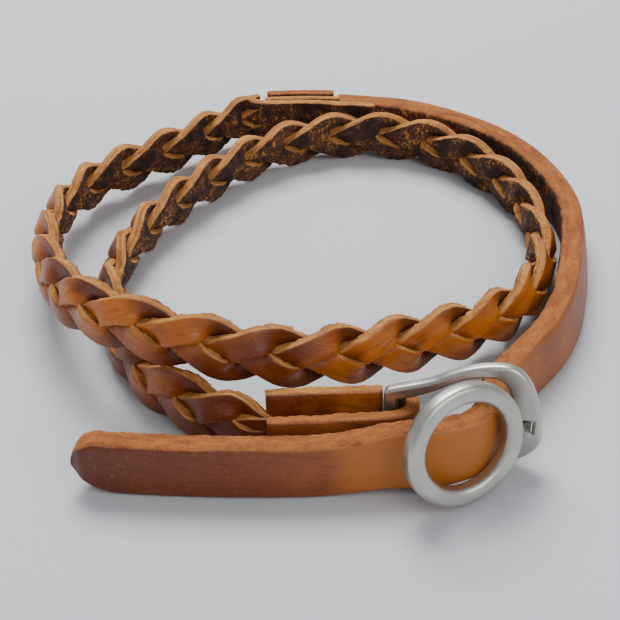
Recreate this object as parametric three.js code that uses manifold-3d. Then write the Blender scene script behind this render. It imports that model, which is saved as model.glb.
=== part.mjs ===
// Braided leather wrap bracelet: two turns on edge, closed by a D frame and a hinged ring.
// Millimetres, +Z up, the flat tail lies along X at the front and the loop runs back along +Y.
import * as THREE from 'three';
import { mergeVertices } from 'three/addons/utils/BufferGeometryUtils.js';
import Module from 'manifold-3d';

// ---- driving dimensions -------------------------------------------------------------------
const STRAP = { width: 6.5, thickness: 2.8, corner: 0.55 };
const BRAID = { height: 6.8, pitch: 21.4, start: 4.2 };
const STRAND = { width: 2.45, thickness: 0.82, depth: 1.35, tilt: 34 };
const FLAP = { thickness: 1.3, height: 6.9, lining: 1, liningHeight: 6.5, tab: 0.8, corner: 0.2 };
const FOLD = { thickness: 1.5, height: 4.7, shoulderHeight: 7.1, corner: 0.25 };
const FRAME = { thickness: 1.3, bar: 1.5, bevel: 0.22 };
const RING = { radius: 6.65, width: 1.95, depth: 1.9, corner: 0.5 };
const HINGE = { u: 14.65, v: -2.4, pin: 0.26, eye: 0.6, bore: 0.34, tongue: 1.6, gap: 0.3, seat: 0.7 };

// Where the frame and the ring stand: a place, a turn about Z and a lean back, in degrees.
const FRAME_PLACE = { at: [7.63, 8.36, 7.6], turn: -9.6, lean: 6 };
const RING_PLACE = { at: [15.18, 0.49, 7.03], turn: 27, lean: 11.8 };

// Routes are centre lines, as x, y, height, and the lean of the bottom edge outwards in degrees.
// The strap runs from the tip of its tail, through the frame, to the splice at the back.
const STRAP_ROUTE = [
  [-24.1, 2.5, 3.25, 0], [-15, 1.7, 3.25, 0], [-6, 1.4, 3.25, 0], [2, 1.6, 3.35, 0],
  [8, 2.2, 4, 3], [13, 2, 4.7, 6], [16.4, 3, 5.1, 5], [18.3, 5.6, 5.25, 0],
  [19.3, 9.2, 4.9, 4], [21, 13.2, 3.9, 8], [23.9, 17.5, 3.4, 10], [27.1, 22.1, 3.35, 12],
  [29.5, 27.2, 3.35, 12], [31.2, 33.3, 3.35, 12], [32.6, 40.5, 3.35, 11], [33.1, 48.3, 3.35, 10],
  [31, 57.4, 3.35, 10], [27.1, 64.7, 3.35, 10], [21.3, 70.2, 3.35, 9], [14.2, 74.2, 3.35, 8],
  [8.5, 75.4, 3.35, 6], [4.4, 75.9, 3.35, 4],
];
// The braid starts at the splice, makes one and a half turns and ends in the fold at the front.
const BRAID_ROUTE = [
  [-9.4, 73.8, 4.1, 4], [-12, 71.9, 4.1, 6], [-16.9, 66.9, 4.2, 8], [-22.4, 61.9, 4.3, 9],
  [-28.1, 55.8, 4.6, 9], [-31.3, 48.2, 5.2, 9], [-31.9, 40, 6, 9], [-30.6, 32.6, 7.1, 9],
  [-27.9, 25.4, 8.5, 9], [-24.2, 19.7, 10, 9], [-19.2, 15.7, 10.7, 9], [-14, 13.8, 10.2, 9],
  [-7.3, 12.9, 9.05, 9], [-1.4, 13.4, 8.05, 9], [4.8, 15.5, 6.95, 9], [12.2, 19.5, 5.7, 9],
  [19.6, 24.2, 4.5, 9], [25.4, 30.6, 3.9, 9], [28.3, 38.8, 3.6, 9], [28.6, 46.6, 3.6, 9],
  [27.3, 54, 3.6, 9], [24.3, 59.9, 3.6, 9], [20.5, 64.8, 3.6, 9], [15.3, 68.6, 3.6, 8],
  [9.2, 70.2, 3.6, 8], [3.5, 70, 3.6, 8], [-1.9, 68.2, 3.6, 8], [-7, 64.9, 3.6, 9],
  [-11.4, 60.4, 3.6, 9], [-16, 54.4, 3.6, 9], [-19.6, 48.4, 3.6, 9], [-22.2, 42, 3.6, 9],
  [-23.5, 35, 3.6, 9], [-23.1, 28.4, 3.6, 9], [-20.8, 21.6, 3.6, 9], [-17.2, 15.6, 3.6, 9],
  [-13, 11.2, 3.6, 8], [-9.6, 8.9, 3.7, 6], [-6.1, 7.7, 3.8, 6],
];

const LEATHER = { color: 0x96552c, roughness: 0.55, metalness: 0 };
const FLESH = { color: 0x5d3a20, roughness: 0.9, metalness: 0 };
const PEWTER = { color: 0xa8a6a0, roughness: 0.35, metalness: 1 };

const UP = new THREE.Vector3(0, 0, 1);

// ---- routes -------------------------------------------------------------------------------
// A band's centre line with the outward and upward directions of its cross-section.
class Route {
  constructor(rows) {
    this.curve = new THREE.CatmullRomCurve3(
      rows.map(([x, y, z]) => new THREE.Vector3(x, y, z)), false, 'centripetal');
    this.curve.arcLengthDivisions = 800;
    this.length = this.curve.getLength();
    this.leans = rows.map((row) => THREE.MathUtils.degToRad(row[3]));
  }

  frame(share) {
    const t = this.curve.getUtoTmapping(THREE.MathUtils.clamp(share, 0, 1));
    const step = t * (this.leans.length - 1);
    const row = Math.min(Math.floor(step), this.leans.length - 2);
    const lean = THREE.MathUtils.lerp(this.leans[row], this.leans[row + 1], step - row);
    const along = this.curve.getTangent(t);
    const level = new THREE.Vector3().crossVectors(along, UP).normalize();
    const upright = new THREE.Vector3().crossVectors(level, along).normalize();
    const out = level.clone().multiplyScalar(Math.cos(lean)).addScaledVector(upright, Math.sin(lean));
    const up = upright.multiplyScalar(Math.cos(lean)).addScaledVector(level, -Math.sin(lean));
    return { at: this.curve.getPoint(t), along, out, up };
  }
}

// One strand of the flat three-strand braid, which weaves about the braid's route.
class Strand {
  constructor(route, phase) {
    this.route = route;
    this.phase = phase;
    this.sideways = (BRAID.height - STRAND.width) / 2;
  }

  turn(share) {
    return this.phase + ((share * this.route.length + BRAID.start) * 2 * Math.PI) / BRAID.pitch;
  }

  centre(share) {
    const { at, out, up } = this.route.frame(share);
    const turn = this.turn(share);
    return at.addScaledVector(up, this.sideways * Math.sin(turn))
      .addScaledVector(out, STRAND.depth * Math.tanh(3.2 * Math.sin(2 * turn)));
  }

  frame(share) {
    const step = 0.4 / this.route.length;
    const at = this.centre(share);
    const along = this.centre(Math.min(share + step, 1)).sub(this.centre(Math.max(share - step, 0)));
    along.normalize();
    const out = this.route.frame(share).out;
    const tilt = THREE.MathUtils.degToRad(STRAND.tilt) * Math.cos(this.turn(share));
    out.addScaledVector(along, -out.dot(along)).normalize().applyAxisAngle(along, tilt);
    const up = new THREE.Vector3().crossVectors(out, along);
    return { at, along, out, up };
  }
}

// ---- shapes -------------------------------------------------------------------------------
function roundedSection(thickness, width, corner) {
  const x = thickness / 2;
  const y = width / 2;
  const shape = new THREE.Shape();
  shape.moveTo(-x + corner, -y);
  shape.absarc(x - corner, -y + corner, corner, -Math.PI / 2, 0, false);
  shape.absarc(x - corner, y - corner, corner, 0, Math.PI / 2, false);
  shape.absarc(-x + corner, y - corner, corner, Math.PI / 2, Math.PI, false);
  shape.absarc(-x + corner, -y + corner, corner, Math.PI, Math.PI * 1.5, false);
  return shape;
}

function plainSection(thickness, width) {
  const x = thickness / 2;
  const y = width / 2;
  return new THREE.Shape([[-x, -y], [x, -y], [x, y], [-x, y]].map(([a, b]) => new THREE.Vector2(a, b)));
}

// Bends a straight extrusion of the section along a guide. narrow scales its width, share by share.
function sweep(section, guide, steps, narrow = () => 1) {
  const body = new THREE.ExtrudeGeometry(section, { depth: 1, steps, bevelEnabled: false, curveSegments: 1 });
  const points = body.attributes.position;
  const point = new THREE.Vector3();
  for (let i = 0; i < points.count; i += 1) {
    point.fromBufferAttribute(points, i);
    const { at, out, up } = guide.frame(point.z);
    at.addScaledVector(out, -point.x).addScaledVector(up, point.y * narrow(point.z));
    points.setXYZ(i, at.x, at.y, at.z);
  }
  body.computeVertexNormals();
  return body;
}

function placement({ at, turn, lean }) {
  const angles = new THREE.Euler(
    THREE.MathUtils.degToRad(90 - lean), 0, THREE.MathUtils.degToRad(turn), 'ZXY');
  return new THREE.Matrix4().makeRotationFromEuler(angles).setPosition(new THREE.Vector3(...at));
}

function piece(name, geometry, finish) {
  const mesh = new THREE.Mesh(geometry, new THREE.MeshStandardMaterial(finish));
  mesh.name = name;
  return mesh;
}

// ---- booleans -----------------------------------------------------------------------------
const wasm = await Module();
wasm.setup();

function solid(geometry) {
  const bare = geometry.clone();
  bare.deleteAttribute('normal');
  bare.deleteAttribute('uv');
  const welded = mergeVertices(bare, 1e-4);
  return new wasm.Manifold(new wasm.Mesh({
    numProp: 3,
    vertProperties: new Float32Array(welded.attributes.position.array),
    triVerts: new Uint32Array(welded.index.array),
  }));
}

function fromSolid(body) {
  const { vertProperties, triVerts } = body.getMesh();
  const geometry = new THREE.BufferGeometry();
  geometry.setAttribute('position', new THREE.BufferAttribute(new Float32Array(vertProperties), 3));
  geometry.setIndex(new THREE.BufferAttribute(new Uint32Array(triVerts), 1));
  geometry.computeVertexNormals();
  return geometry;
}

// ---- leather pieces -----------------------------------------------------------------------
const strapRoute = new Route(STRAP_ROUTE);
const braidRoute = new Route(BRAID_ROUTE);

function flatStrap() {
  const round = STRAP.width / 2 / strapRoute.length;
  const tip = (share) => (share >= round ? 1 : Math.max(0.35, Math.sqrt(1 - (1 - share / round) ** 2)));
  return sweep(roundedSection(STRAP.thickness, STRAP.width, STRAP.corner), strapRoute, 90, tip);
}

function braidStrands() {
  return [0, 1, 2].map((number) => {
    const strand = new Strand(braidRoute, (number * 2 * Math.PI) / 3);
    const steps = Math.round((braidRoute.length / BRAID.pitch) * 14);
    const section = plainSection(STRAND.thickness, STRAND.width);
    return piece(`braid_strand_${number + 1}`, sweep(section, strand, steps), LEATHER);
  });
}

// A short flat layer of leather along its own small route.
function layer(rows, thickness, height, corner) {
  return sweep(roundedSection(thickness, height, corner), new Route(rows), rows.length * 5);
}

function splicePieces() {
  const cover = [[3.2, 76.5, 3.8, 4], [-1, 76.6, 3.8, 4], [-6.1, 76.3, 3.8, 4]];
  const curl = [[-6.7, 73.9, 3.8, 4], [-7.9, 74.3, 3.8, 4], [-8, 75, 3.8, 4], [-7.2, 75.6, 3.8, 4]];
  const lining = [[3.6, 74, 3.8, 4], [1, 74.1, 3.8, 4], [-3, 74, 3.8, 4], ...curl];
  const tab = [[3.6, 75.2, 3.8, 4], [-1, 75.3, 3.8, 4], [-5.6, 75.1, 3.8, 4]];
  return [
    piece('splice_cover', layer(cover, FLAP.thickness, FLAP.height, FLAP.corner), LEATHER),
    piece('splice_lining', layer(lining, FLAP.lining, FLAP.liningHeight, FLAP.corner), FLESH),
    piece('splice_tab', layer(tab, FLAP.tab, FLAP.liningHeight, FLAP.corner), FLESH),
  ];
}

function foldPieces() {
  const inner = [[-4.6, 8.1, 3.7, 6], [1, 8.5, 3.7, 6], [7.3, 8.8, 3.7, 6]];
  const front = [[-4.4, 4.75, 4.05, 6], [0, 5, 4.05, 6], [5, 5.45, 4.05, 6], [8.3, 5.75, 4.05, 5]];
  const bend = [[10, 6.5, 4.05, 3], [10.6, 8, 4.05, 0], [9.9, 9.6, 4.05, -4], [8.2, 10.1, 4.05, -6]];
  return [
    piece('fold_inner_layer', layer(inner, FOLD.thickness, FOLD.shoulderHeight, FOLD.corner), LEATHER),
    piece('fold_loop', layer([...front, ...bend], FOLD.thickness, FOLD.height, FOLD.corner), LEATHER),
  ];
}

// ---- metal pieces -------------------------------------------------------------------------
// The frame is drawn in its own plane: x from its left bar, y up from its top left corner.
function frameOutline() {
  const shape = new THREE.Shape();
  shape.moveTo(0.5, -7.1);
  shape.lineTo(12.9, -7.1);
  shape.bezierCurveTo(14.4, -6.6, 16.4, -5.3, 16.5, -3.8);
  shape.bezierCurveTo(16.3, -0.4, 15.2, 4.4, 12.2, 4.5);
  shape.bezierCurveTo(10, 4.6, 7.5, 3.6, 5.6, 2.35);
  shape.bezierCurveTo(4.6, 1.7, 2.6, 1.25, 0.5, 0.45);
  shape.quadraticCurveTo(0, 0.2, 0, -0.4);
  shape.lineTo(0, -6.6);
  shape.quadraticCurveTo(0, -7.1, 0.5, -7.1);
  return shape;
}

function frameOpening() {
  const hole = new THREE.Path();
  hole.moveTo(FRAME.bar, -6.1);
  hole.lineTo(FRAME.bar, -0.8);
  hole.bezierCurveTo(3.4, -0.2, 4.6, 0.2, 5.9, 1);
  hole.bezierCurveTo(7.6, 2.2, 9, 2.9, 11.2, 2.9);
  hole.bezierCurveTo(12.8, 2.8, 13.2, 0.6, 13.2, -1.6);
  hole.bezierCurveTo(13.2, -4.4, 12.8, -6, 11.6, -6.1);
  hole.closePath();
  return hole;
}

// The notch in the frame's inner edge where the ring's tongue turns about the pin.
function hingeNotch() {
  const reach = 2;
  const width = reach + HINGE.eye + HINGE.gap;
  const notch = new THREE.BoxGeometry(width, HINGE.tongue + 2 * HINGE.gap, FRAME.thickness * 2);
  return notch.translate(HINGE.u - reach + width / 2, HINGE.v, 0);
}

// A round bar on the hinge axis, in the frame's own plane.
function hingeBar(radius, length) {
  return new THREE.CylinderGeometry(radius, radius, length, 20).translate(HINGE.u, HINGE.v, 0);
}

const framePlace = placement(FRAME_PLACE);
const ringPlace = placement(RING_PLACE);
const pinLength = HINGE.tongue + 2 * (HINGE.gap + HINGE.seat);

function buckleFrame() {
  const outline = frameOutline();
  outline.holes.push(frameOpening());
  const plate = new THREE.ExtrudeGeometry(outline, {
    depth: FRAME.thickness - 2 * FRAME.bevel, steps: 1, curveSegments: 12, bevelEnabled: true,
    bevelThickness: FRAME.bevel, bevelSize: FRAME.bevel, bevelOffset: -FRAME.bevel, bevelSegments: 1,
  });
  plate.translate(0, 0, -FRAME.thickness / 2 + FRAME.bevel);
  const pinHole = solid(hingeBar(HINGE.pin + 0.02, pinLength + 0.04));
  return fromSolid(solid(plate).subtract(solid(hingeNotch())).subtract(pinHole)).applyMatrix4(framePlace);
}

function hingePin() {
  return hingeBar(HINGE.pin, pinLength).applyMatrix4(framePlace);
}

// The ring is a turned hoop with a short tongue that wraps the hinge pin.
function ring() {
  const section = roundedSection(RING.width, RING.depth, RING.corner);
  section.curves.forEach((curve) => curve.updateArcLengths());
  const middle = RING.radius - RING.width / 2;
  const profile = section.getPoints(3).map((point) => new THREE.Vector2(point.x + middle, point.y));
  profile.push(profile[0].clone());
  const hoop = new THREE.LatheGeometry(profile, 64).rotateX(Math.PI / 2).applyMatrix4(ringPlace);

  const eye = hingeBar(HINGE.eye, HINGE.tongue).applyMatrix4(framePlace);
  const start = new THREE.Vector3(HINGE.u, HINGE.v, 0).applyMatrix4(framePlace);
  const rim = new THREE.Vector3(middle * 0.985, -middle * 0.17, 0).applyMatrix4(ringPlace);
  const axis = new THREE.Vector3().setFromMatrixColumn(framePlace, 1);
  const reach = rim.clone().sub(start);
  reach.addScaledVector(axis, -reach.dot(axis));
  const side = new THREE.Vector3().crossVectors(reach, axis).normalize();
  const web = new THREE.BoxGeometry(reach.length(), HINGE.tongue, 0.6);
  const turn = new THREE.Matrix4().makeBasis(reach.clone().normalize(), axis, side);
  web.applyMatrix4(turn.setPosition(start.clone().addScaledVector(reach, 0.5)));
  const bore = hingeBar(HINGE.bore, HINGE.tongue * 2).applyMatrix4(framePlace);
  return fromSolid(solid(hoop).add(solid(eye)).add(solid(web)).subtract(solid(bore)));
}

const parts = new THREE.Group();
parts.add(piece('flat_strap', flatStrap(), LEATHER));
parts.add(...braidStrands());
parts.add(...splicePieces());
parts.add(...foldPieces());
parts.add(piece('buckle_frame', buckleFrame(), PEWTER));
parts.add(piece('hinge_pin', hingePin(), PEWTER));
parts.add(piece('closing_ring', ring(), PEWTER));

// The origin is the middle of the box's underside.
const box = new THREE.Box3().setFromObject(parts);
const middle = box.getCenter(new THREE.Vector3());
parts.position.set(-middle.x, -middle.y, -box.min.z);

export default parts;
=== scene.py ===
"""Braided leather wrap bracelet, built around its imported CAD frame."""
import math

import bmesh
import bpy
import numpy as np
from mathutils import Matrix, Vector, noise


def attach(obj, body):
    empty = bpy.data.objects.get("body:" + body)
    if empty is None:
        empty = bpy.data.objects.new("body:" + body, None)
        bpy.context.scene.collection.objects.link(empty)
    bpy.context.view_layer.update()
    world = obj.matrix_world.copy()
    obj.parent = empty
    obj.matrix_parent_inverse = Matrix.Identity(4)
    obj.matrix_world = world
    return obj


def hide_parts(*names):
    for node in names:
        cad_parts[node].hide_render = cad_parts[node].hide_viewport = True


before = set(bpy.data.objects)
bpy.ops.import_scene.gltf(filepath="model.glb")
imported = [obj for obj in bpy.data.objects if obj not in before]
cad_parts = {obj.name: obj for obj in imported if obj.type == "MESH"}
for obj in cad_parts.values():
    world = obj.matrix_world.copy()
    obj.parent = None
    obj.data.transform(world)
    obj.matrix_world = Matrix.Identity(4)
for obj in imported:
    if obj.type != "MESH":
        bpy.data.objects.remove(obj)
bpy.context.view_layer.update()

MM = 0.001

# ---- sizes in millimetres, as in the CAD ---------------------------------------------------
# The routes are drawn from the middle of the tail; this moves them to the CAD's origin.
SHIFT = np.array([-0.3049, -37.0344, 0.0092])

STRAP = {"width": 6.5, "thickness": 2.8, "corner": 0.6, "crown": 0.12}
TIP = {"point": 0.35, "upper": 3.0, "lower": 4.8, "drop": 0.12, "blunt": 0.8, "thin": 0.55, "round": 1.4}
# The strap bulges a little where the ring presses round its bend, and its leather gets a painted
# highlight there.
SWELL = {"at": 36, "reach": 5.5, "amount": 0.1}
BRAID = {"height": 7.0, "pitch": 21.4, "zigzag": 0.09, "start": 4.2, "spliced_points": 2}
# Where the braid opens out of the splice and closes into the fold, and how flat it is inside.
BRAID_ENDS = {"splice": 1.5, "opens_over": 6, "fold": 1, "closes_over": 5, "height": 0.45, "depth": 0.15}
STRAND = {"width": 2.8, "thickness": 1.25, "corner": 0.2, "crown": 0.1, "spacing": 1.4}
FLAP = {"thickness": 1.3, "height": 6.9, "corner": 0.25, "crown": 0.05}
LINING = {"thickness": 1.2, "height": 6.5, "corner": 0.25, "crown": 0.0}
TAB = {"thickness": 0.9, "height": 6.5, "corner": 0.2, "crown": 0.0}
SHOULDER = {"thickness": 1.5, "height": 7.1, "corner": 0.3, "crown": 0.06}
LOOP = {"thickness": 1.5, "height": 4.7, "corner": 0.3, "crown": 0.06}
PLATE = {"thickness": 1.3, "round": 0.4}
RING = {"radius": 6.65, "width": 1.95, "depth": 1.9, "round": 0.6, "around": 144, "corner_steps": 6}
HINGE = {"u": 14.65, "v": -2.4, "eye": 0.6, "tongue": 1.0, "gap": 0.13}
FIBRES_PER_STRAND = 900
PLATE_PLACE = {"at": (7.63, 8.36, 7.6), "turn": -9.6, "lean": 6}
RING_PLACE = {"at": (15.18, 0.49, 7.03), "turn": 27, "lean": 11.8}

# Where the grain pattern starts along the strands and the layers. Each strand starts at its own place;
# the layers all share one start.
GRAIN_START = {"strand": 400, "layer": 50}

# Centre lines as x, y, height and the lean of the bottom edge outwards in degrees.
STRAP_ROUTE = [
    (-24.1, 2.5, 3.25, 0), (-15, 1.7, 3.25, 0), (-6, 1.4, 3.25, 0), (2, 1.6, 3.35, 0),
    (8, 2.2, 4, 3), (13, 2, 4.7, 6), (16.4, 3, 5.1, 5), (18.3, 5.6, 5.25, 0),
    (19.3, 9.2, 4.9, 4), (21, 13.2, 3.9, 8), (23.9, 17.5, 3.4, 10), (27.1, 22.1, 3.35, 12),
    (29.5, 27.2, 3.35, 12), (31.2, 33.3, 3.35, 12), (32.6, 40.5, 3.35, 11), (33.1, 48.3, 3.35, 10),
    (31, 57.4, 3.35, 10), (27.1, 64.7, 3.35, 10), (21.3, 70.2, 3.35, 9), (14.2, 74.2, 3.35, 8),
    (8.5, 75.4, 3.35, 6), (4, 75.95, 3.35, 4),
]
# The braid's first two points lie inside the splice and its last one inside the fold.
BRAID_ROUTE = [
    (-0.5, 75.3, 4, 3), (-4.5, 75.2, 4, 3), (-9.4, 73.8, 4.1, 4), (-12, 71.9, 4.1, 6),
    (-16.9, 66.9, 4.2, 8), (-22.4, 61.9, 4.3, 9), (-28.1, 55.8, 4.6, 9), (-31.3, 48.2, 5.2, 9),
    (-31.9, 40, 6, 9), (-30.6, 32.6, 7.1, 9), (-27.9, 25.4, 8.5, 9), (-24.2, 19.7, 10, 9),
    (-19.2, 15.7, 10.7, 9), (-14, 13.8, 10.2, 9), (-7.3, 12.9, 9.05, 9), (-1.4, 13.4, 8.05, 9),
    (4.8, 15.5, 6.95, 9), (12.2, 19.5, 5.7, 9), (19.6, 24.2, 4.5, 9), (25.4, 30.6, 3.9, 9),
    (28.3, 38.8, 3.6, 9), (28.6, 46.6, 3.6, 9), (27.3, 54, 3.6, 9), (24.3, 59.9, 3.6, 9),
    (20.5, 64.8, 3.6, 9), (15.3, 68.6, 3.6, 8), (9.2, 70.2, 3.6, 8), (3.5, 70, 3.6, 8),
    (-1.9, 68.2, 3.6, 8), (-7, 64.9, 3.6, 9), (-11.4, 60.4, 3.6, 9), (-16, 54.4, 3.6, 9),
    (-19.6, 48.4, 3.6, 9), (-22.2, 42, 3.6, 9), (-23.5, 35, 3.6, 9), (-23.1, 28.4, 3.6, 9),
    (-20.8, 21.6, 3.6, 9), (-17.2, 15.6, 3.6, 9), (-13, 11.2, 3.6, 8), (-9.6, 8.9, 3.7, 6),
    (-6.1, 7.6, 3.8, 6), (-2.6, 6.9, 3.9, 6),
]
COVER_ROUTE = [(3.4, 76.45, 3.8, 4), (-1, 76.55, 3.8, 4), (-6.1, 76.25, 3.8, 4)]
LINING_ROUTE = [
    (9, 73.9, 3.4, 6), (4.5, 74.1, 3.5, 5), (1, 74.05, 3.7, 4), (-3, 73.95, 3.8, 4),
    (-6.7, 73.85, 3.8, 4), (-7.9, 74.3, 3.8, 4), (-8, 75, 3.8, 4), (-7.2, 75.6, 3.8, 4),
]
TAB_ROUTE = [(4.2, 75.2, 3.75, 4), (-1, 75.3, 3.75, 4), (-6.4, 75, 3.75, 4)]
SHOULDER_ROUTE = [(-4.6, 8.1, 3.7, 6), (1, 8.5, 3.7, 6), (7.55, 8.8, 3.7, 6)]
LOOP_ROUTE = [
    (-4.4, 4.75, 4.05, 6), (0, 5, 4.05, 6), (5, 5.45, 4.05, 6), (8.3, 5.75, 4.05, 5),
    (10, 6.5, 4.05, 3), (10.6, 8, 4.05, 0), (9.9, 9.6, 4.05, -4), (8.2, 10.1, 4.05, -6),
]


# Where the camera stands on the routes' drawing, in mm, its lens in mm and its pitch in degrees.
CAMERA = {"at": (0, -103.96, 98.43), "lens": 81.3, "down": 35.7}


# ---- routes --------------------------------------------------------------------------------
def unit(rows):
    return rows / np.linalg.norm(rows, axis=-1, keepdims=True)


class Route:
    """A centripetal Catmull-Rom centre line with a lean, read by the distance along it."""
    per_span = 60

    def __init__(self, rows):
        points = np.array([row[:3] for row in rows], float)
        points = np.vstack([2 * points[0] - points[1], points, 2 * points[-1] - points[-2]])
        spans = [self.span(points[i:i + 4], self.per_span) for i in range(len(rows) - 1)]
        self.line = np.vstack(spans + [points[-2:-1]])
        steps = np.linalg.norm(np.diff(self.line, axis=0), axis=1)
        self.distance = np.concatenate([[0], np.cumsum(steps)])
        self.length = self.distance[-1]
        share = np.arange(len(self.line)) / self.per_span
        self.leans = np.interp(share, np.arange(len(rows)), [row[3] for row in rows])

    @staticmethod
    def span(points, count):
        a, b, c, d = points
        first, middle, last = np.sqrt(np.linalg.norm(np.diff(points, axis=0), axis=1))
        leave = ((b - a) / first - (c - a) / (first + middle) + (c - b) / middle) * middle
        reach = ((c - b) / middle - (d - b) / (middle + last) + (d - c) / last) * middle
        t = np.linspace(0, 1, count, endpoint=False)[:, None]
        square = (3 * (c - b) - 2 * leave - reach) * t ** 2
        cube = (2 * (b - c) + leave + reach) * t ** 3
        return b + leave * t + square + cube

    def at(self, distance):
        return np.stack([np.interp(distance, self.distance, self.line[:, k]) for k in range(3)], -1)

    def axes(self, distance):
        """The centre and the outward and upward axes at each distance."""
        inner = np.clip(distance, 0.3, self.length - 0.3)
        along = unit(self.at(inner + 0.3) - self.at(inner - 0.3))
        level = unit(np.cross(along, [0, 0, 1]))
        upright = np.cross(level, along)
        lean = np.radians(np.interp(distance, self.distance, self.leans))[..., None]
        out = level * np.cos(lean) + upright * np.sin(lean)
        up = upright * np.cos(lean) - level * np.sin(lean)
        return self.at(distance), out, up

    def point(self, distance, up_by, out_by):
        centre, out, up = self.axes(distance)
        return centre + up * up_by[..., None] + out * out_by[..., None]


# ---- the weave -----------------------------------------------------------------------------
class Weave:
    """The depth of one strand over the braid's plane. Three equal strands lie a third of a pitch
    apart, and each lies over the next wherever they meet, so one field describes them all."""
    columns = 63
    rows = 27
    margin = 0.45

    def __init__(self):
        self.turns = np.arange(self.columns) * 2 * math.pi / self.columns
        reach = BRAID["height"] / 2 + 0.3
        self.heights = np.linspace(-reach, reach, self.rows)
        slant = np.arctan(self.slope(self.turns))[:, None]
        beside = np.abs(self.heights - self.centre(self.turns)[:, None]) * np.cos(slant)
        strand = beside <= STRAND["width"] / 2
        self.third = self.columns // 3
        self.meet = strand & np.roll(strand, -self.third, axis=0)
        self.links = self.neighbours(beside <= STRAND["width"] / 2 + self.margin)
        self.depth = self.relax()

    @staticmethod
    def centre(turn):
        swing = (BRAID["height"] - STRAND["width"]) / 2 / (1 + BRAID["zigzag"])
        return swing * (np.sin(turn) - BRAID["zigzag"] * np.sin(3 * turn))

    @classmethod
    def slope(cls, turn, step=0.001):
        rise = cls.centre(turn + step) - cls.centre(turn - step)
        return rise / (2 * step) * 2 * math.pi / BRAID["pitch"]

    @staticmethod
    def neighbours(wide):
        links = []
        for axis, step in ((0, 1), (0, -1), (1, 1), (1, -1)):
            linked = np.roll(wide, step, axis) & wide
            if axis == 1:
                linked[:, 0 if step == 1 else -1] = False
            links.append((axis, step, linked))
        return links

    def pull(self, field):
        parts = []
        for axis, step, linked in self.links:
            parts.append(np.where(linked, np.roll(field, step, axis) - field, 0))
        return sum(parts) / 4

    def relax(self, rounds=2500, tension=0.05, stiffness=0.2):
        """Tension and stiffness flatten the strand, and the other strands hold it apart."""
        depth = np.repeat(np.sin(2 * self.turns)[:, None], self.rows, axis=1)
        for _ in range(rounds):
            first = self.pull(depth)
            depth = depth + tension * first - stiffness * self.pull(first)
            gap = depth - np.roll(depth, -self.third, axis=0)
            lack = np.where(self.meet, np.maximum(0, STRAND["spacing"] - gap), 0)
            depth = depth + lack / 2 - np.roll(lack, self.third, axis=0) / 2
        return depth

    def at(self, turn, height):
        column = (turn / (2 * math.pi) * self.columns) % self.columns
        row = (height - self.heights[0]) / (self.heights[1] - self.heights[0])
        row = np.clip(row, 0, self.rows - 1.001)
        i, j = np.floor(column).astype(int) % self.columns, np.floor(row).astype(int)
        a, b = column - np.floor(column), row - j
        k = (i + 1) % self.columns
        near = self.depth[i, j] * (1 - b) + self.depth[i, j + 1] * b
        far = self.depth[k, j] * (1 - b) + self.depth[k, j + 1] * b
        return near * (1 - a) + far * a


# ---- mesh building -------------------------------------------------------------------------
def add_object(name, mesh, material, body, nodes):
    for polygon in mesh.polygons:
        polygon.use_smooth = True
    piece = bpy.data.objects.new(name, mesh)
    bpy.context.collection.objects.link(piece)
    piece.data.materials.append(material)
    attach(piece, body)
    if nodes:
        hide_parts(*nodes)
    return piece


def strip_section(thickness, width, corner, crown, face_points=10, edge_points=4):
    """A strip's outline as rows of outward offset, upward offset, how far it is cut edge and how
    far it is flesh side. It starts on the outer, grain side."""
    half_x, half_y = thickness / 2, width / 2
    rows = []
    for side in (1, -1):
        flesh = float(side < 0)
        for share in np.linspace(-1, 1, face_points + 1):
            y = share * (half_y - corner) * side
            rows.append((side * (half_x + crown * (1 - share * share)), y, 0, flesh))
        for angle in (math.pi / 6, math.pi / 3):
            x = half_x - corner + corner * math.cos(angle)
            y = half_y - corner + corner * math.sin(angle)
            rows.append((side * x, side * y, angle * 2 / math.pi, flesh))
        for share in np.linspace(1, -1, edge_points + 1):
            rows.append((share * (half_x - corner) * side, side * half_y, 1, 0.5 - 0.5 * side * share))
        for angle in (math.pi / 3, math.pi / 6):
            x = half_x - corner + corner * math.cos(angle)
            y = half_y - corner + corner * math.sin(angle)
            rows.append((-side * x, side * y, angle * 2 / math.pi, 1 - flesh))
    return np.array(rows)


def skin(name, points, section, distance, high=0.5):
    """A closed mesh over rows of points, which keeps where each point is on the strip. High is how far
    each point stands out of a weave, from 0 to 1; the leather paints highlight where it is high and shade
    where it is low."""
    count, around = points.shape[:2]
    faces = []
    for i in range(count - 1):
        for j in range(around):
            k = (j + 1) % around
            faces.append((i * around + j, i * around + k, (i + 1) * around + k, (i + 1) * around + j))
    faces.append(tuple(reversed(range(around))))
    faces.append(tuple(range((count - 1) * around, count * around)))
    mesh = bpy.data.meshes.new(name)
    mesh.from_pydata(((points.reshape(-1, 3) + SHIFT) * MM).tolist(), [], faces)
    cut = np.tile(section[:, 2], (count, 1))
    cut[[0, -1]] = 1
    marks = {"cut": cut, "flesh": np.tile(section[:, 3], (count, 1)),
             "run": np.repeat(distance[:, None] * MM, around, axis=1),
             "rise": np.tile(section[:, 1] * MM, (count, 1)), "high": np.full((count, around), high)}
    for key, values in marks.items():
        mesh.attributes.new(key, "FLOAT", "POINT").data.foreach_set("value", values.ravel())
    return mesh


def read_mark(mesh, name):
    values = np.empty(len(mesh.vertices))
    mesh.attributes[name].data.foreach_get("value", values)
    return values


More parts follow.
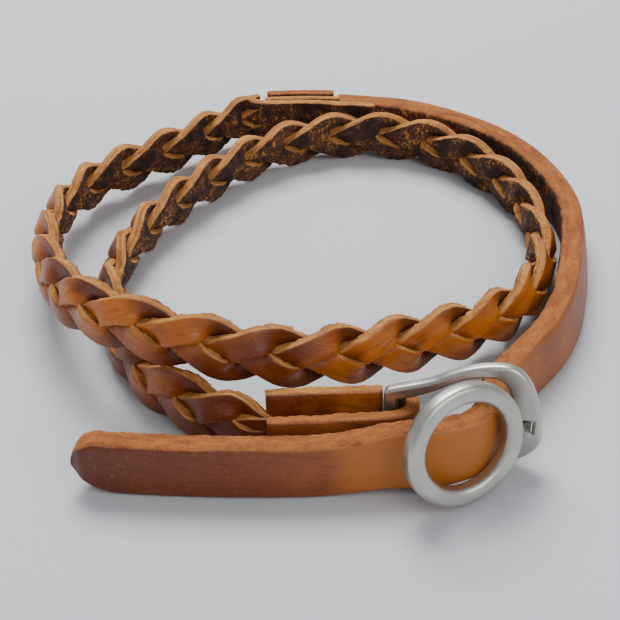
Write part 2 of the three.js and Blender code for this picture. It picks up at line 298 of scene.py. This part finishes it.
def roughen(mesh, face_depth, edge_depth, size):
    """Moves the flesh side and the cut edges in and out, as split leather is uneven."""
    reach = read_mark(mesh, "flesh") * face_depth + read_mark(mesh, "cut") * edge_depth
    normals = [vertex.normal.copy() for vertex in mesh.vertices]
    for vertex, normal, amount in zip(mesh.vertices, normals, reach):
        if amount > 0.01:
            vertex.co += normal * noise.fractal(vertex.co / (size * MM), 1.0, 2.0, 3) * amount * MM
        vertex.co.z = max(vertex.co.z, 0)
    mesh.update()


def ease(values, reach):
    share = np.clip(values / reach, 0, 1)
    return share * share * (3 - 2 * share)


# ---- materials -----------------------------------------------------------------------------
class Nodes:
    """Adds nodes to a material and links them."""

    def __init__(self, name):
        self.material = bpy.data.materials.new(name)
        self.material.use_nodes = True
        self.tree = self.material.node_tree
        self.shader = self.tree.nodes["Principled BSDF"]

    def put(self, socket, value):
        if isinstance(value, bpy.types.NodeSocket):
            self.tree.links.new(value, socket)
        else:
            socket.default_value = value

    def add(self, kind, sockets, **settings):
        node = self.tree.nodes.new("ShaderNode" + kind)
        for key, value in settings.items():
            setattr(node, key, value)
        for key, value in sockets.items():
            self.put(node.inputs[key], value)
        return node.outputs

    def mark(self, name):
        return self.add("Attribute", {}, attribute_name=name)["Fac"]

    def math(self, operation, a, b):
        return self.add("Math", {0: a, 1: b}, operation=operation)[0]

    def ramp(self, value, low, high):
        return self.add("MapRange", {"Value": value, "From Min": low, "From Max": high})[0]

    def mix(self, amount, a, b, blend="MIX"):
        return self.add("Mix", {0: amount, 6: a, 7: b}, data_type="RGBA", blend_type=blend)[2]

    def noise(self, where, scale, detail=4.0, roughness=0.55, distortion=0.0):
        sockets = {"Vector": where, "Scale": scale, "Detail": detail, "Roughness": roughness,
                   "Distortion": distortion}
        return self.add("TexNoise", sockets)["Fac"]

    def cells(self, where, scale):
        return self.add("TexVoronoi", {"Vector": where, "Scale": scale})["Distance"]

    def stretch(self, where, scale):
        return self.add("Mapping", {"Vector": where, "Scale": scale})[0]

    def bump(self, height, distance, strength, under=None):
        sockets = {"Height": height, "Distance": distance * MM, "Strength": strength}
        if under is not None:
            sockets["Normal"] = under
        return self.add("Bump", sockets)[0]

    def finish(self, sockets):
        for key, value in sockets.items():
            self.put(self.shader.inputs[key], value)
        return self.material


def shade(red, green, blue):
    """A colour as 0 to 255 on a screen, in linear light."""
    return tuple(((c / 255 + 0.055) / 1.055) ** 2.4 for c in (red, green, blue)) + (1,)


FLESH_DARK = shade(34, 14, 6)
FLESH_BROWN = shade(76, 38, 16)
FIBRE_TAN = shade(190, 128, 62)


def leather(name, dark, body, bright, gloss, edge_dark, edge_pale, tip_dark=0.0):
    """Oiled tan leather: pored grain outside, pale cut edges, dark fibrous flesh side, with painted
    highlight and painted shade on a weave's raised and sunken points and a painted highlight round the
    strap's bend.
    """
    n = Nodes(name)
    place = n.add("TexCoord", {})["Object"]
    run = n.mark("run")
    high = n.mark("high")
    strip = n.add("CombineXYZ", {"X": run, "Y": n.mark("rise"), "Z": n.mark("flesh")})[0]
    blotch = n.noise(place, 190, 3)
    broad = n.noise(place, 60, 2)
    streak = n.noise(n.stretch(strip, (260, 1500, 2)), 1.0, 4, 0.6, 0.6)
    pores = n.cells(place, 2700)
    flecks = n.ramp(n.noise(place, 1900, 3, 0.6), 0.58, 0.74)
    fuzz = n.noise(place, 1500, 5, 0.7, 1.5)
    patch = n.noise(place, 420, 3)

    # Painted highlight: points that stand out of the weave are painted lighter, mixed with the leather's
    # own random blotches.
    highlight_and_blotch = n.math("ADD", n.math("MULTIPLY", high, 1.1), n.math("MULTIPLY", blotch, 1.2))
    grain = n.mix(n.ramp(highlight_and_blotch, 0.95, 1.45), body, bright)
    grain = n.mix(n.ramp(broad, 0.6, 0.4), grain, body)
    # Painted shade: points that dip under the other strands are painted darker.
    grain = n.mix(n.ramp(high, 0.5, 0.12), grain, dark)
    grain = n.mix(n.math("MULTIPLY", n.ramp(streak, 0.5, 0.3), 0.45), grain, dark)
    grain = n.mix(n.math("MULTIPLY", n.ramp(pores, 0.28, 0.05), 0.55), grain, dark)
    grain = n.mix(n.math("MULTIPLY", flecks, 0.3), grain, edge_dark)
    if tip_dark:
        fade = n.math("MULTIPLY", n.ramp(run, 0.026, 0.001), tip_dark)
        grain = n.mix(fade, grain, n.mix(flecks, shade(82, 27, 9), shade(146, 78, 34)))
        # Painted highlight: the strap is painted lighter round its bend inside the ring, where it bulges.
        from_bend = n.math("SUBTRACT", run, SWELL["at"] * MM)
        bend_highlight = n.ramp(n.math("MULTIPLY", from_bend, from_bend), 0.00011, 0.00003)
        grain = n.mix(n.math("MULTIPLY", bend_highlight, 0.7), grain, shade(186, 108, 34))
    edge = n.mix(n.ramp(streak, 0.35, 0.65), edge_dark, edge_pale)
    edge = n.mix(n.math("MULTIPLY", n.ramp(fuzz, 0.52, 0.34), 0.45), edge, FLESH_BROWN)
    split = n.mix(n.ramp(patch, 0.35, 0.6), FLESH_DARK, FLESH_BROWN)
    tufts = n.math("MULTIPLY", n.ramp(fuzz, 0.52, 0.62), n.ramp(patch, 0.42, 0.6))
    split = n.mix(tufts, split, FIBRE_TAN)

    wander = n.math("MULTIPLY", n.math("SUBTRACT", patch, 0.5), 0.9)
    is_cut = n.ramp(n.math("ADD", n.mark("cut"), wander), 0.4, 0.7)
    is_flesh = n.ramp(n.math("ADD", n.mark("flesh"), wander), 0.5, 0.8)
    raw = n.math("MAXIMUM", is_cut, is_flesh)
    colour = n.mix(is_cut, n.mix(is_flesh, grain, split), edge)

    smooth = n.bump(n.noise(place, 500, 4), 0.12, 0.4, n.bump(pores, 0.05, 0.5))
    rough = n.bump(fuzz, 0.25, 0.9)
    normal = n.add("Mix", {0: raw, 4: smooth, 5: rough}, data_type="VECTOR")[1]
    worn = n.math("ADD", gloss - 0.15, n.math("MULTIPLY", blotch, 0.3))
    sheen = n.math("MAXIMUM", worn, n.math("MULTIPLY", raw, 0.85))
    return n.finish({"Base Color": colour, "Roughness": sheen, "Normal": normal})


def pewter():
    """Tumbled cast metal: soft gloss, faint clouds and fine scratches."""
    n = Nodes("pewter")
    place = n.add("TexCoord", {})["Object"]
    cloud = n.noise(place, 300, 4)
    scratch = n.noise(n.stretch(place, (500, 4200, 500)), 1.0, 3, 0.7)
    colour = n.mix(n.ramp(cloud, 0.3, 0.75), shade(176, 174, 167), shade(206, 204, 196))
    rough = n.math("ADD", n.math("MULTIPLY", cloud, 0.2), 0.28)
    normal = n.bump(scratch, 0.01, 0.5, n.bump(cloud, 0.08, 0.35))
    return n.finish({"Base Color": colour, "Metallic": 1.0, "Roughness": rough, "Normal": normal})


def fibre_material():
    n = Nodes("loose_fibre")
    place = n.add("TexCoord", {})["Object"]
    colour = n.mix(n.ramp(n.noise(place, 300, 2), 0.35, 0.65), shade(126, 74, 38), FIBRE_TAN)
    return n.finish({"Base Color": colour, "Roughness": 0.9})


STRAP_LEATHER = leather("strap_leather", shade(80, 31, 7), shade(124, 58, 14), shade(162, 90, 24), 0.5,
                        shade(134, 68, 20), shade(172, 102, 38), tip_dark=0.85)
BRAID_LEATHER = leather("braid_leather", shade(48, 16, 4), shade(110, 47, 9), shade(190, 102, 20), 0.36,
                        shade(146, 82, 30), shade(200, 140, 68))
PEWTER = pewter()
LOOSE_FIBRE = fibre_material()


# ---- leather pieces ------------------------------------------------------------------------
def tip_shape(distance):
    """The strap's upper and lower edge near its tip, as shares of its half width."""
    upper = np.clip(distance / TIP["upper"], 0, 1)
    lower = np.clip(distance / TIP["lower"], 0, 1)
    start = TIP["point"] / (STRAP["width"] / 2)
    top = start + (1 - start) * np.sqrt(1 - (1 - upper) ** 2)
    bottom = start - TIP["drop"] - (1 + start - TIP["drop"]) * (1 - (1 - lower) ** 2) ** TIP["blunt"]
    return top, bottom


def flat_strap():
    route = Route(STRAP_ROUTE)
    near = TIP["lower"] * np.linspace(0, 1, 40, endpoint=False) ** 1.6
    distance = np.concatenate([near, np.arange(TIP["lower"], route.length, 0.25), [route.length]])
    section = strip_section(STRAP["thickness"], STRAP["width"], STRAP["corner"], STRAP["crown"])
    top, bottom = tip_shape(distance)
    swell = 1 + SWELL["amount"] * np.exp(-((distance - SWELL["at"]) / SWELL["reach"]) ** 2)
    half = STRAP["width"] / 2
    share = (section[:, 1] / half + 1) / 2
    rise = half * (bottom[:, None] + (top - bottom)[:, None] * share) * swell[:, None]
    thin = TIP["thin"] + (1 - TIP["thin"]) * ease(distance, TIP["round"])
    depth = section[:, 0] * thin[:, None]
    points = route.point(np.repeat(distance[:, None], len(section), axis=1), rise, depth)
    mesh = skin("strap", points, section, distance)
    roughen(mesh, 0.1, 0.03, 0.9)
    return add_object("strap_band", mesh, STRAP_LEATHER, "band", ["flat_strap"])


def strand_point(route, weave, phase, distance, across):
    """A point on a strand's middle surface and its depth in the weave. A strand is flattened into
    the splice and the fold at its ends."""
    leaves_splice = route.distance[BRAID["spliced_points"] * route.per_span]

    def turn(at):
        return phase + (at - leaves_splice + BRAID["start"]) * 2 * math.pi / BRAID["pitch"]

    slant = np.arctan(weave.slope(turn(distance)))
    run = distance - across * np.sin(slant)
    height = weave.centre(turn(distance)) + across * np.cos(slant)
    depth = weave.at(turn(run), height)
    ends = BRAID_ENDS
    opened = ease(run - ends["splice"], ends["opens_over"])
    opened = opened * ease(route.length - ends["fold"] - run, ends["closes_over"])
    height = height * (ends["height"] + (1 - ends["height"]) * opened)
    depth = depth * (ends["depth"] + (1 - ends["depth"]) * opened)
    return route.point(run, height, depth), depth


def braid_strand(route, weave, number, step=0.28, probe=0.05):
    phase = number * 2 * math.pi / 3
    section = strip_section(STRAND["thickness"], STRAND["width"], STRAND["corner"], STRAND["crown"], 8, 3)
    distance = np.arange(1, route.length - 1, step)
    along = np.repeat(distance[:, None], len(section), axis=1)
    across = np.repeat(section[None, :, 1], len(distance), axis=0)

    def surface(ahead, aside):
        return strand_point(route, weave, phase, along + ahead, across + aside)[0]

    forward = surface(probe, 0) - surface(-probe, 0)
    sideways = surface(0, probe) - surface(0, -probe)
    points = surface(0, 0) + unit(np.cross(forward, sideways)) * section[:, 0][None, :, None]
    depth = strand_point(route, weave, phase, along, across)[1]
    # High feeds the leather's painted highlight on raised points and painted shade under the other
    # strands.
    high = 0.5 + 0.5 * depth / np.abs(depth).max() * (1 - 2 * section[:, 3])
    mesh = skin(f"strand_{number + 1}", points, section, distance + GRAIN_START["strand"] * number, high)
    roughen(mesh, 0.16, 0.07, 0.7)
    add_object(f"woven_strand_{number + 1}", mesh, BRAID_LEATHER, "band",
               [f"braid_strand_{number + 1}"])
    return mesh


def layer(name, rows, size, material, nodes):
    route = Route(rows)
    distance = np.linspace(0, route.length, int(route.length / 0.2))
    section = strip_section(size["thickness"], size["height"], size["corner"], size["crown"])
    along = np.repeat(distance[:, None], len(section), axis=1)
    rise = np.repeat(section[None, :, 1], len(distance), axis=0)
    ends = 0.75 + 0.25 * ease(np.minimum(distance, route.length - distance), 0.5)
    points = route.point(along, rise, section[:, 0] * ends[:, None])
    mesh = skin(name, points, section, distance + GRAIN_START["layer"])
    roughen(mesh, 0.12, 0.03, 0.8)
    return add_object(name, mesh, material, "band", nodes)


def splice_and_fold():
    layer("splice_outer_flap", COVER_ROUTE, FLAP, STRAP_LEATHER, ["splice_cover"])
    layer("splice_inner_layer", LINING_ROUTE, LINING, BRAID_LEATHER, ["splice_lining"])
    layer("splice_root", TAB_ROUTE, TAB, BRAID_LEATHER, ["splice_tab"])
    layer("fold_shoulder", SHOULDER_ROUTE, SHOULDER, BRAID_LEATHER, ["fold_inner_layer"])
    layer("fold_wrap", LOOP_ROUTE, LOOP, STRAP_LEATHER, ["fold_loop"])


def loose_fibres(name, mesh, count, seed, longest=0.9, thick=0.035):
    """Short curled fibres that stand up from the flesh side and the cut edges."""
    random = np.random.default_rng(seed)
    raw = np.maximum(read_mark(mesh, "flesh"), read_mark(mesh, "cut"))
    roots = random.choice(np.flatnonzero(raw > 0.6), count)
    vertices, faces = [], []
    for root in roots:
        vertex = mesh.vertices[int(root)]
        heading = unit(np.array(vertex.normal) * 0.6 + random.normal(0, 0.6, 3))
        curl = random.normal(0, 0.55, 3)
        length = longest * random.uniform(0.3, 1) * MM
        side = unit(np.cross(heading, [0.3, 0.5, 0.8]))
        other = np.cross(heading, side)
        at = np.array(vertex.co) - np.array(vertex.normal) * 0.05 * MM
        first = len(vertices)
        for knot in range(4):
            width = thick * MM * (1 - knot / 4.5)
            for corner in range(3):
                angle = corner * 2 * math.pi / 3
                vertices.append(at + width * (side * math.cos(angle) + other * math.sin(angle)))
            heading = unit(heading + curl * 0.45)
            at = at + heading * length / 3
        for knot in range(3):
            for corner in range(3):
                a, b = first + knot * 3 + corner, first + knot * 3 + (corner + 1) % 3
                faces.append((a, b, b + 3, a + 3))
        faces.append((first, first + 2, first + 1))
        faces.append((first + 9, first + 10, first + 11))
    tuft = bpy.data.meshes.new(name)
    tuft.from_pydata([(x, y, max(z, 0)) for x, y, z in vertices], [], faces)
    return add_object(name, tuft, LOOSE_FIBRE, "band", [])


# ---- metal pieces --------------------------------------------------------------------------
def placed(place):
    """From a flat piece's own plane, x along it and y up, to where it stands."""
    at = Vector([(a + b) * MM for a, b in zip(place["at"], SHIFT)])
    stand = Matrix.Rotation(math.radians(90 - place["lean"]), 4, "X")
    return Matrix.Translation(at) @ Matrix.Rotation(math.radians(place["turn"]), 4, "Z") @ stand


PLATE_OUTLINE = [
    ((0.5, -7.1), (0.17, -7.1), None), ((12.9, -7.1), None, (14.4, -6.6)),
    ((16.5, -3.8), (16.4, -5.3), (16.3, -0.4)), ((12.2, 4.5), (15.2, 4.4), (10, 4.6)),
    ((5.6, 2.35), (7.5, 3.6), (4.6, 1.7)), ((0.5, 0.45), (2.6, 1.25), (0.17, 0.28)),
    ((0, -0.4), (0, 0), None), ((0, -6.6), None, (0, -6.93)),
]
# The opening, with the notch that the ring's tongue turns in.
NOTCH = {"end": HINGE["u"] + HINGE["eye"] + HINGE["gap"], "half": HINGE["tongue"] / 2 + HINGE["gap"]}
PLATE_OPENING = [
    ((1.5, -6.1), None, None), ((1.5, -0.8), None, (3.4, -0.2)), ((5.9, 1), (4.6, 0.2), (7.6, 2.2)),
    ((11.2, 2.9), (9, 2.9), (12.8, 2.8)), ((13.15, HINGE["v"] + NOTCH["half"]), (13.15, 0.4), None),
    ((NOTCH["end"], HINGE["v"] + NOTCH["half"]), None, None),
    ((NOTCH["end"], HINGE["v"] - NOTCH["half"]), None, None),
    ((13.1, HINGE["v"] - NOTCH["half"]), None, (12.9, -4.8)), ((11.6, -6.1), (12.6, -6), None),
]


def add_spline(curve, rows):
    spline = curve.splines.new("BEZIER")
    spline.bezier_points.add(len(rows) - 1)
    spline.use_cyclic_u = True
    spline.resolution_u = 24
    for point, (at, left, right) in zip(spline.bezier_points, rows):
        point.handle_left_type = point.handle_right_type = "FREE"
        point.co = (*at, 0)
        point.handle_left = (*(left or at), 0)
        point.handle_right = (*(right or at), 0)


def mesh_of(data):
    holder = bpy.data.objects.new("shaping", data)
    bpy.context.collection.objects.link(holder)
    mesh = bpy.data.meshes.new_from_object(holder.evaluated_get(bpy.context.evaluated_depsgraph_get()))
    bpy.data.objects.remove(holder)
    return mesh


def buckle_frame():
    curve = bpy.data.curves.new("plate_outline", "CURVE")
    curve.dimensions = "2D"
    curve.fill_mode = "BOTH"
    curve.bevel_depth = PLATE["round"]
    curve.bevel_resolution = 5
    curve.offset = -PLATE["round"]
    curve.extrude = PLATE["thickness"] / 2 - PLATE["round"]
    add_spline(curve, PLATE_OUTLINE)
    add_spline(curve, PLATE_OPENING)
    mesh = mesh_of(curve)
    mesh.transform(placed(PLATE_PLACE) @ Matrix.Scale(MM, 4))
    return add_object("cast_frame", mesh, PEWTER, "frame", ["buckle_frame"])


def ring_section():
    """The hoop's rounded section, as rows of radius and depth."""
    middle = RING["radius"] - RING["width"] / 2
    half_width = RING["width"] / 2 - RING["round"]
    half_depth = RING["depth"] / 2 - RING["round"]
    rows = []
    for quarter, (x, y) in enumerate([(1, 1), (-1, 1), (-1, -1), (1, -1)]):
        for step in range(RING["corner_steps"]):
            angle = math.pi / 2 * (quarter + step / (RING["corner_steps"] - 1))
            rows.append((middle + x * half_width + RING["round"] * math.cos(angle),
                         y * half_depth + RING["round"] * math.sin(angle)))
    return rows


def ring_hoop():
    stand = placed(RING_PLACE)
    section = ring_section()
    count = RING["around"]
    vertices, faces = [], []
    for i in range(count):
        angle = 2 * math.pi * i / count
        for radius, depth in section:
            spot = Vector((radius * math.cos(angle), radius * math.sin(angle), depth)) * MM
            vertices.append(stand @ spot)
        for j in range(len(section)):
            a, b = i * len(section), (i + 1) % count * len(section)
            k = (j + 1) % len(section)
            faces.append((a + j, b + j, b + k, a + k))
    mesh = bpy.data.meshes.new("hoop")
    mesh.from_pydata(vertices, [], faces)
    return add_object("turned_ring", mesh, PEWTER, "ring", ["closing_ring"])


def ring_tongue():
    """The eye round the hinge pin and the web that joins it to the hoop."""
    plate = placed(PLATE_PLACE)
    middle = RING["radius"] - RING["width"] / 2
    pin = plate @ Vector((HINGE["u"] * MM, HINGE["v"] * MM, 0))
    rim = placed(RING_PLACE) @ Vector((middle * 0.985 * MM, -middle * 0.17 * MM, 0))
    axis = (plate.to_3x3() @ Vector((0, 1, 0))).normalized()
    reach = rim - pin
    reach -= axis * reach.dot(axis)
    ahead = reach.normalized()
    lie = Matrix((ahead, axis, ahead.cross(axis))).transposed().to_4x4()
    lie.translation = pin

    shape = bmesh.new()
    eye, tall = HINGE["eye"] * MM, HINGE["tongue"] * MM
    upright = lie @ Matrix.Rotation(math.pi / 2, 4, "X")
    bmesh.ops.create_cone(shape, cap_ends=True, segments=40, radius1=eye, radius2=eye, depth=tall,
                          matrix=upright)
    web = Matrix.Translation((reach.length / 2, 0, 0))
    web = web @ Matrix.Diagonal((reach.length, tall, eye * 1.8, 1))
    bmesh.ops.create_cube(shape, size=1, matrix=lie @ web)
    mesh = bpy.data.meshes.new("tongue")
    shape.to_mesh(mesh)
    shape.free()
    return add_object("ring_tongue", mesh, PEWTER, "ring", [])


def hinge_pin():
    """The pin keeps its CAD mesh and gets the metal's finish."""
    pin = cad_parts["hinge_pin"]
    pin.data.materials.clear()
    pin.data.materials.append(PEWTER)


flat_strap()
braid_route = Route(BRAID_ROUTE)
weave = Weave()
for number in range(3):
    strand = braid_strand(braid_route, weave, number)
    loose_fibres(f"strand_fibres_{number + 1}", strand, FIBRES_PER_STRAND, seed=number)
splice_and_fold()
buckle_frame()
ring_hoop()
ring_tongue()
hinge_pin()


# ---- stage ---------------------------------------------------------------------------------
def floor():
    bpy.ops.mesh.primitive_plane_add(size=3, location=(0, 0, 0))
    plane = bpy.context.object
    plane.name = "floor"
    n = Nodes("floor_paper")
    plane.data.materials.append(n.finish({"Base Color": shade(196, 197, 202), "Roughness": 0.9}))


def area_light(name, at, size, power):
    lamp = bpy.data.lights.new(name, "AREA")
    lamp.size = size
    lamp.energy = power
    holder = bpy.data.objects.new(name, lamp)
    bpy.context.collection.objects.link(holder)
    holder.location = at
    holder.rotation_euler = (-Vector(at)).to_track_quat("-Z", "Y").to_euler()


def sky(strength):
    world = bpy.data.worlds.new("studio")
    world.use_nodes = True
    backdrop = world.node_tree.nodes["Background"]
    backdrop.inputs["Color"].default_value = (0.92, 0.95, 1, 1)
    backdrop.inputs["Strength"].default_value = strength
    bpy.context.scene.world = world


def camera():
    lens = bpy.data.cameras.new("camera")
    lens.sensor_width = 36
    lens.lens = CAMERA["lens"]
    lens.clip_start = 0.005
    eye = bpy.data.objects.new("camera", lens)
    bpy.context.collection.objects.link(eye)
    eye.location = Vector(CAMERA["at"]) * MM + Vector(SHIFT) * MM
    eye.rotation_euler = (math.radians(90 - CAMERA["down"]), 0, 0)
    bpy.context.scene.camera = eye


floor()
area_light("key", (-0.06, 0.24, 0.42), 0.26, 3.4)
area_light("front_fill", (0.22, -0.30, 0.30), 0.35, 0.9)
sky(0.5)
camera()
